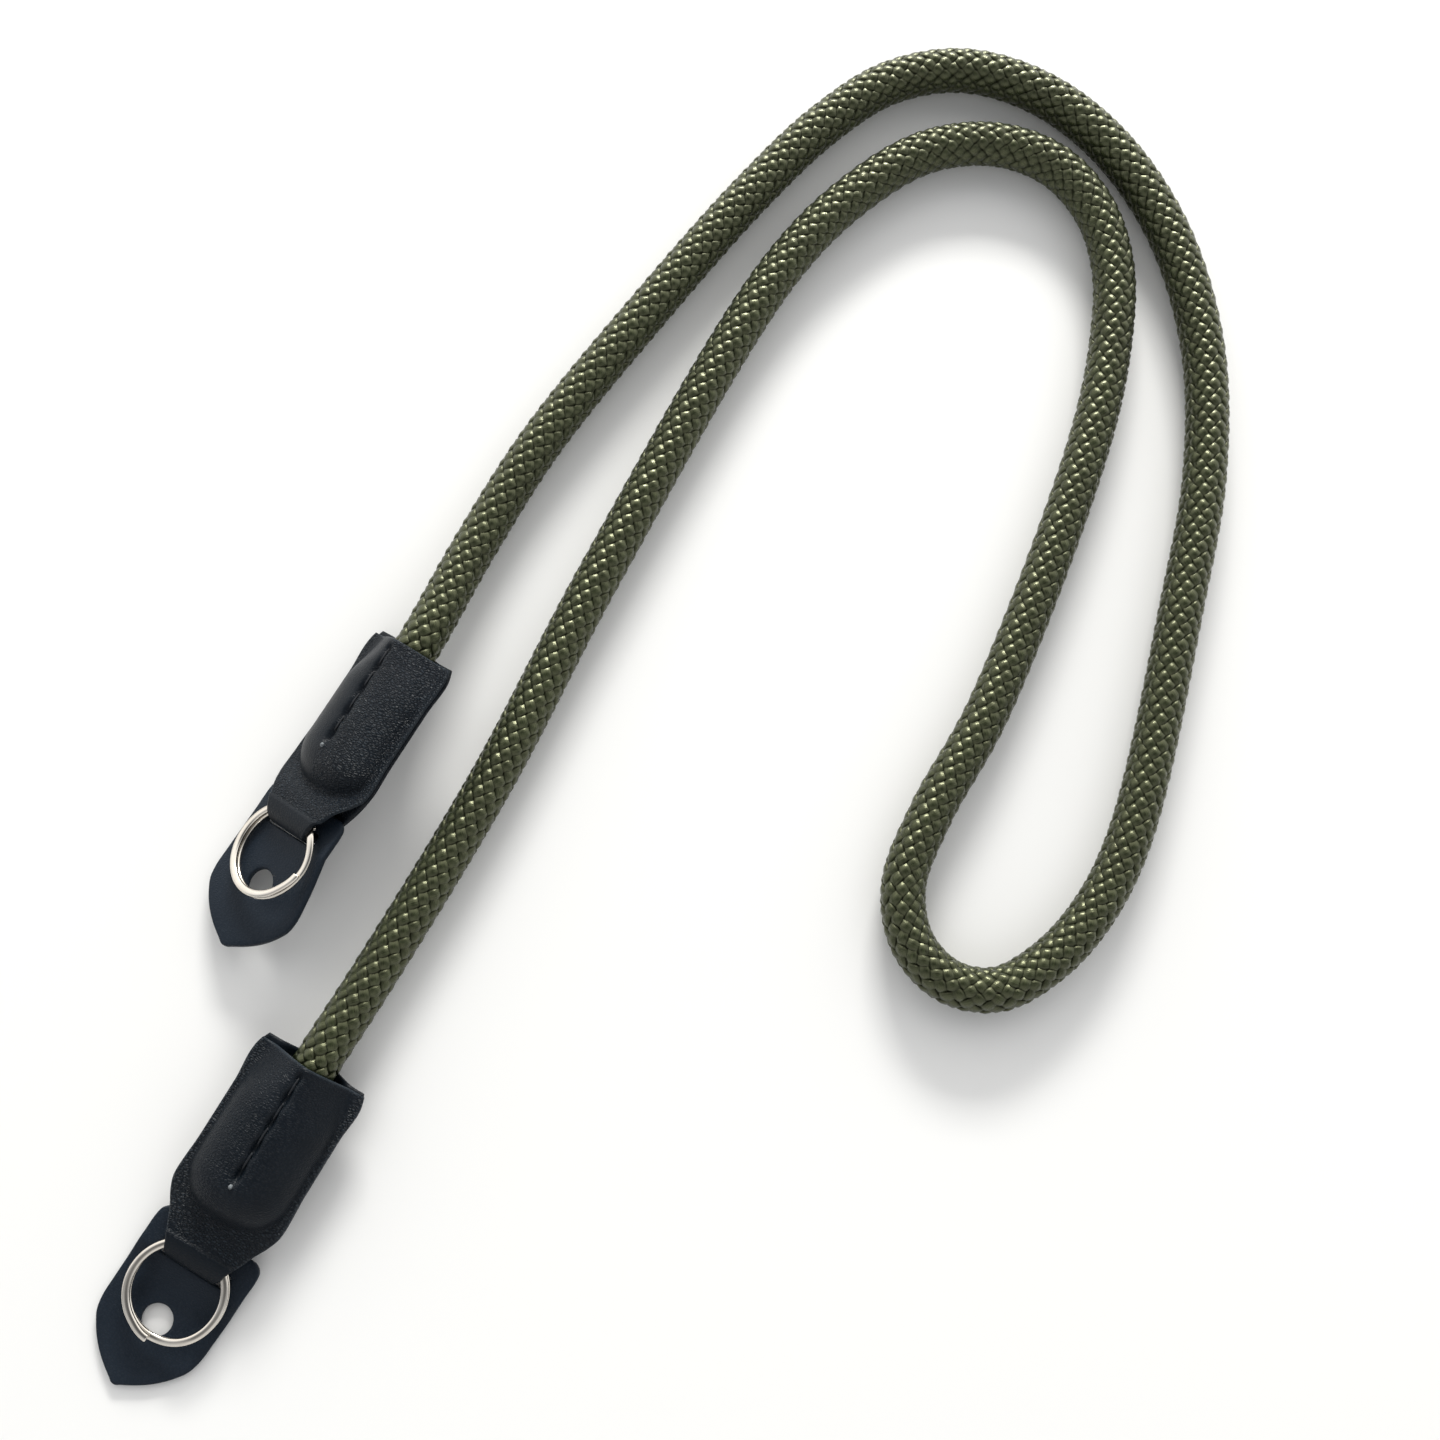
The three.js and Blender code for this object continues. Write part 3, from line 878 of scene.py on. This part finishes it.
def make_thread(name, end):
    """Stitches down in the seam of a sleeve."""
    parts = []
    reach = SEAM_START + STITCH / 2
    while reach < SEAM_END - 1.0:
        at = np.array([reach])
        middle = np.array([SEAM_ASIDE])
        height = tab_height(at, middle, FRONT_SLACK) - seam_depth(at, middle)
        parts.append(blob((SEAM_ASIDE, reach, height[0] + 0.1), STITCH * 0.36, THREAD_RADIUS, end))
        reach += STITCH
    return make_mesh(name, parts)


def make_knot(name, end):
    """The small knot that closes a seam."""
    at = np.array([SEAM_END + 0.5])
    middle = np.array([SEAM_ASIDE])
    height = tab_height(at, middle, FRONT_SLACK) - seam_depth(at, middle)
    spot = (SEAM_ASIDE, at[0], height[0] + 0.1)
    return make_mesh(name, [blob(spot, KNOT_RADIUS * 1.2, KNOT_RADIUS, end)])


def inside_loop(points, loop):
    """Which points lie inside a closed loop."""
    x, y = points[:, 0][:, None], points[:, 1][:, None]
    nxt = np.roll(loop, -1, axis=0)
    crosses = (loop[:, 1] > y) != (nxt[:, 1] > y)
    rise = np.where(nxt[:, 1] == loop[:, 1], 1.0, nxt[:, 1] - loop[:, 1])
    at = loop[:, 0] + (y - loop[:, 1]) / rise * (nxt[:, 0] - loop[:, 0])
    return (crosses & (x < at)).sum(1) % 2 == 1


def loop_inset(loop, inset):
    """The loop moved to its left by inset."""
    ahead = unit(np.roll(loop, -1, axis=0) - np.roll(loop, 1, axis=0))
    return loop + inset * np.stack([-ahead[:, 1], ahead[:, 0]], 1)


def guard_loops():
    """Outline, slot and hole as (across, along), the leather always on the left."""
    right = [(half, along) for along, half in GUARD_OUTLINE]
    left = [(-half, along) for along, half in reversed(GUARD_OUTLINE)]
    rough = centripetal(right + left + right[:1], 12)[:-1]
    length = np.linalg.norm(np.diff(rough, axis=0), axis=1).sum()
    outline = even_spacing(rough, int(length / GUARD_EDGE_STEP), closed=True)

    start, end, half = GUARD_SLOT
    corner = GUARD_SLOT_CORNER
    turn = np.linspace(0.0, math.pi / 2, 5)
    slot = []
    for x, y, first in (
        (half - corner, end - corner, 0.0),
        (-half + corner, end - corner, 0.5),
        (-half + corner, start + corner, 1.0),
        (half - corner, start + corner, 1.5),
    ):
        angle = turn + first * math.pi
        slot.append(np.stack([x + corner * np.cos(angle), y + corner * np.sin(angle)], 1))
    slot = even_spacing(np.vstack(slot), 90, closed=True)[::-1]
    middle = np.array([0.0, (start + end) / 2])
    turn = math.radians(-GUARD_SLOT_TURN)
    spin = np.array([[math.cos(turn), math.sin(turn)], [-math.sin(turn), math.cos(turn)]])
    slot = (slot - middle) @ spin + middle

    along, radius = GUARD_HOLE
    angle = np.arange(64) / 64 * 2 * math.pi
    hole = np.stack([radius * np.cos(-angle), along + radius * np.sin(-angle)], 1)
    return [outline, slot, hole]


def guard_faces():
    """Flat guard: points (across, along, share of half thickness) and faces."""
    loops = guard_loops()
    face_inset = GUARD_RIM[0][0]
    rims = [loop_inset(loop, face_inset) for loop in loops]
    x = np.arange(*GUARD_ACROSS, GUARD_CELL)
    y = np.arange(*GUARD_ALONG, GUARD_CELL * 0.866)
    gx, gy = np.meshgrid(x, y)
    gx = gx + (np.arange(len(y)) % 2)[:, None] * GUARD_CELL / 2
    cells = np.stack([gx.ravel(), gy.ravel()], 1)
    clear = inside_loop(cells, rims[0])
    for rim in rims[1:]:
        clear &= ~inside_loop(cells, rim)
    for rim in rims:
        near = np.linalg.norm(cells[:, None, :] - rim[None, :, :], axis=2).min(1)
        clear &= near > GUARD_CELL * 0.55
    flat = np.vstack(rims + [cells[clear]])
    edges = []
    base = 0
    for rim in rims:
        number = np.arange(len(rim))
        edges.extend(zip(base + number, base + (number + 1) % len(rim)))
        base += len(rim)
    made = delaunay_2d_cdt(
        [Vector(point) for point in flat], [(int(a), int(b)) for a, b in edges], [], 0, 1e-6
    )
    source = np.array([origin[0] for origin in made[3]])
    faces = source[np.array(made[2])]
    middles = flat[faces].mean(1)
    keep = inside_loop(middles, rims[0])
    for rim in rims[1:]:
        keep &= ~inside_loop(middles, rim)
    faces = faces[keep]
    a, b, c = (flat[faces[:, k]] for k in range(3))
    turned = np.cross(b - a, c - a) < 0
    faces[turned] = faces[turned][:, ::-1]

    count = len(flat)
    points = [np.column_stack([flat, np.ones(count)]), np.column_stack([flat, -np.ones(count)])]
    strips = []
    base = 2 * count
    start = 0
    for loop, rim in zip(loops, rims):
        size = len(loop)
        rows = [start + np.arange(size)]
        for inset, share in GUARD_RIM[1:-1]:
            points.append(np.column_stack([loop_inset(loop, inset), np.full(size, share)]))
            rows.append(base + np.arange(size))
            base += size
        rows.append(count + start + np.arange(size))
        for upper, lower in zip(rows[:-1], rows[1:]):
            strips.append(
                np.stack([upper, lower, np.roll(lower, -1), np.roll(upper, -1)], 1)
            )
        start += size
    return np.vstack(points), [faces, faces[:, ::-1] + count, np.vstack(strips)]


def guard_back(end):
    """Height of a guard's back face at its slot, over the back layer of the fold."""
    return end["neck_shift"] - FOLD_HALF_HEIGHT + FOLD_LEATHER + GUARD_CLEARANCE


def make_guard(name, end, flat):
    """The guard flap, bent and turned as it lies behind its ring."""
    points, faces = flat
    across, along, share = points.T
    plane = guard_back(end) + GUARD_THICK / 2
    sag = smooth_table([row[:2] for row in end["sag"]], along)
    slope = smooth_table([(row[0], row[2]) for row in end["sag"]], along)
    height = plane - sag - across * slope + share * GUARD_THICK / 2
    pivot = (GUARD_SLOT[0] + GUARD_SLOT[1]) / 2
    turn = math.radians(-end["guard_turn"])
    x = across * math.cos(turn) - (along - pivot) * math.sin(turn)
    y = across * math.sin(turn) + (along - pivot) * math.cos(turn) + pivot
    x = x + end["neck_lean"] + end["guard_shift"]
    y = y - end["neck_short"]
    placed = place_end(np.stack([x, y, height], 1), end)
    facing = [side[:, ::-1] for side in faces]
    part = {"vertices": placed, "faces": facing, "values": {"grain": np.full(len(placed), GUARD_GRAIN)}}
    return make_mesh(name, [part])


# Split rings

def make_ring(name, end):
    """Two flat turns of wire with one short step between them."""
    turn = np.linspace(RING_FIRST_TURN, RING_LAST_TURN, RING_STEPS)
    reach, narrow = np.array(RING_TIP).T
    reach = reach / (2 * math.pi * RING_RADIUS)
    turn = np.concatenate([RING_FIRST_TURN + reach, turn[1:-1], RING_LAST_TURN - reach[::-1]])
    angle = math.radians(end["ring_start"]) + turn * 2 * math.pi
    climb = smooth_share(turn, 1.0, 1.0 + RING_STEP_TURN) - 0.5
    share = np.concatenate([narrow, np.ones(RING_STEPS - 2), narrow[::-1]])
    corner = np.arange(RING_SIDES) / RING_SIDES * 2 * math.pi
    wide, high = (
        size * np.sign(way) * np.abs(way) ** RING_SQUARENESS
        for size, way in zip(RING_WIRE, (np.cos(corner), np.sin(corner)))
    )
    flare = RING_END_FLARE * smooth_share(turn, RING_FLARE_START, RING_LAST_TURN)
    radius = RING_RADIUS + flare[:, None] + share[:, None] * wide[None, :]
    x = radius * np.cos(angle)[:, None] + end["neck_lean"]
    y = -(radius * np.sin(angle)[:, None]) + RING_ALONG - end["neck_short"]
    guard_top = guard_back(end) + GUARD_THICK
    base = guard_top + RING_CLEARANCE + (RING_COIL_PITCH + 2 * RING_WIRE[1]) / 2
    z = base + RING_COIL_PITCH * climb[:, None] + share[:, None] * high[None, :]
    return make_mesh(name, [tube(place_end(np.stack([x, y, z], 2), end))])


def make_ends():
    leather = leather_material(
        "tab_leather", (0.0018, 0.0038, 0.0066), (0.0038, 0.0070, 0.0112), 0.00046, 0.00022, 0.38
    )
    flap = leather_material(
        "guard_leather", (0.0060, 0.0108, 0.0180), (0.0100, 0.0166, 0.0262), 0.00040, 0.00012, 0.46
    )
    nickel = nickel_material()
    thread = thread_material("seam_thread", (0.002, 0.003, 0.005), (0.008, 0.011, 0.016))
    knot = thread_material("seam_knot", (0.09, 0.10, 0.11), (0.22, 0.24, 0.25))
    flat = guard_faces()
    for side, end in ENDS.items():
        tab = make_tab(f"{side}_leather_tab", end)
        finish_piece(tab, leather, "tab_leather", f"{side}_tab")
        guard = make_guard(f"{side}_guard_flap", end, flat)
        finish_piece(guard, flap, "guard_leather", f"{side}_guard")
        ring = make_ring(f"{side}_split_ring", end)
        finish_piece(ring, nickel, "ring_steel", f"{side}_ring")
        stitches = make_thread(f"{side}_seam_thread", end)
        finish_piece(stitches, thread, "tab_leather")
        finish_piece(make_knot(f"{side}_seam_knot", end), knot, "tab_leather")


# Stage

FLOOR_HALF = 5.0
FLOOR_HEIGHT = -0.0002
STAGE_MIDDLE = (0.08, 0.06, 0.0)

# Lights: place, width, length, watts, colour
LIGHTS = {
    "key": ((0.20, 1.34, 0.54), 0.56, 0.20, 21.0, (1.0, 0.99, 0.96)),
}

# Soft studio sky: bright towards one side, from dim to bright
SKY_BRIGHT_SIDE = (0.05, 0.90, -0.43)
SKY_STRENGTH = 2.25

# Dark patch straight overhead: from this height, to this height, down to this share
SKY_OVERHEAD = (0.80, 0.97, 0.25)
SKY_SHADES = [
    (0.0, (0.42, 0.42, 0.42)),
    (0.30, (0.17, 0.175, 0.185)),
    (0.52, (0.56, 0.56, 0.56)),
    (1.0, (0.93, 0.91, 0.87)),
]


def make_light(name, place, width, length, watts, colour):
    data = bpy.data.lights.new(name, "AREA")
    data.shape = "RECTANGLE"
    data.size = width
    data.size_y = length
    data.energy = watts
    data.color = colour
    light = bpy.data.objects.new(name, data)
    light.location = place
    light.rotation_euler = (Vector(STAGE_MIDDLE) - Vector(place)).to_track_quat("-Z", "Y").to_euler()
    bpy.context.scene.collection.objects.link(light)


def make_stage():
    corners = np.array([(-1, -1), (1, -1), (1, 1), (-1, 1)]) * FLOOR_HALF / MM
    vertices = np.column_stack([corners, np.full(4, FLOOR_HEIGHT / MM)])
    floor = make_mesh("floor", [{"vertices": vertices, "faces": [np.array([[0, 1, 2, 3]])]}], False)
    floor.data.materials.append(floor_material())
    for name, values in LIGHTS.items():
        make_light(name, *values)
    world = bpy.data.worlds.new("studio")
    world.use_nodes = True
    tree = world.node_tree
    background = tree.nodes["Background"]
    place = tree.nodes.new("ShaderNodeTexCoord")
    towards = tree.nodes.new("ShaderNodeVectorMath")
    towards.operation = "DOT_PRODUCT"
    towards.inputs[1].default_value = SKY_BRIGHT_SIDE
    share = tree.nodes.new("ShaderNodeMapRange")
    share.inputs["From Min"].default_value = -1.0
    shades = tree.nodes.new("ShaderNodeValToRGB")
    while len(shades.color_ramp.elements) < len(SKY_SHADES):
        shades.color_ramp.elements.new(0.5)
    for element, (stop, colour) in zip(shades.color_ramp.elements, SKY_SHADES):
        element.position = stop
        element.color = (*colour, 1.0)
    tree.links.new(place.outputs["Generated"], towards.inputs[0])
    tree.links.new(towards.outputs["Value"], share.inputs["Value"])
    tree.links.new(share.outputs["Result"], shades.inputs[0])
    height = tree.nodes.new("ShaderNodeSeparateXYZ")
    tree.links.new(place.outputs["Generated"], height.inputs[0])
    above = tree.nodes.new("ShaderNodeMapRange")
    above.inputs["From Min"].default_value = SKY_OVERHEAD[0]
    above.inputs["From Max"].default_value = SKY_OVERHEAD[1]
    above.inputs["To Min"].default_value = 1.0
    above.inputs["To Max"].default_value = SKY_OVERHEAD[2]
    dimmed = tree.nodes.new("ShaderNodeVectorMath")
    dimmed.operation = "SCALE"
    tree.links.new(height.outputs["Z"], above.inputs["Value"])
    tree.links.new(shades.outputs[0], dimmed.inputs[0])
    tree.links.new(above.outputs["Result"], dimmed.inputs["Scale"])
    tree.links.new(dimmed.outputs[0], background.inputs["Color"])
    background.inputs["Strength"].default_value = SKY_STRENGTH
    bpy.context.scene.world = world
    bpy.context.scene.view_settings.view_transform = "Standard"


make_camera()
make_rope()
make_ends()
make_stage()
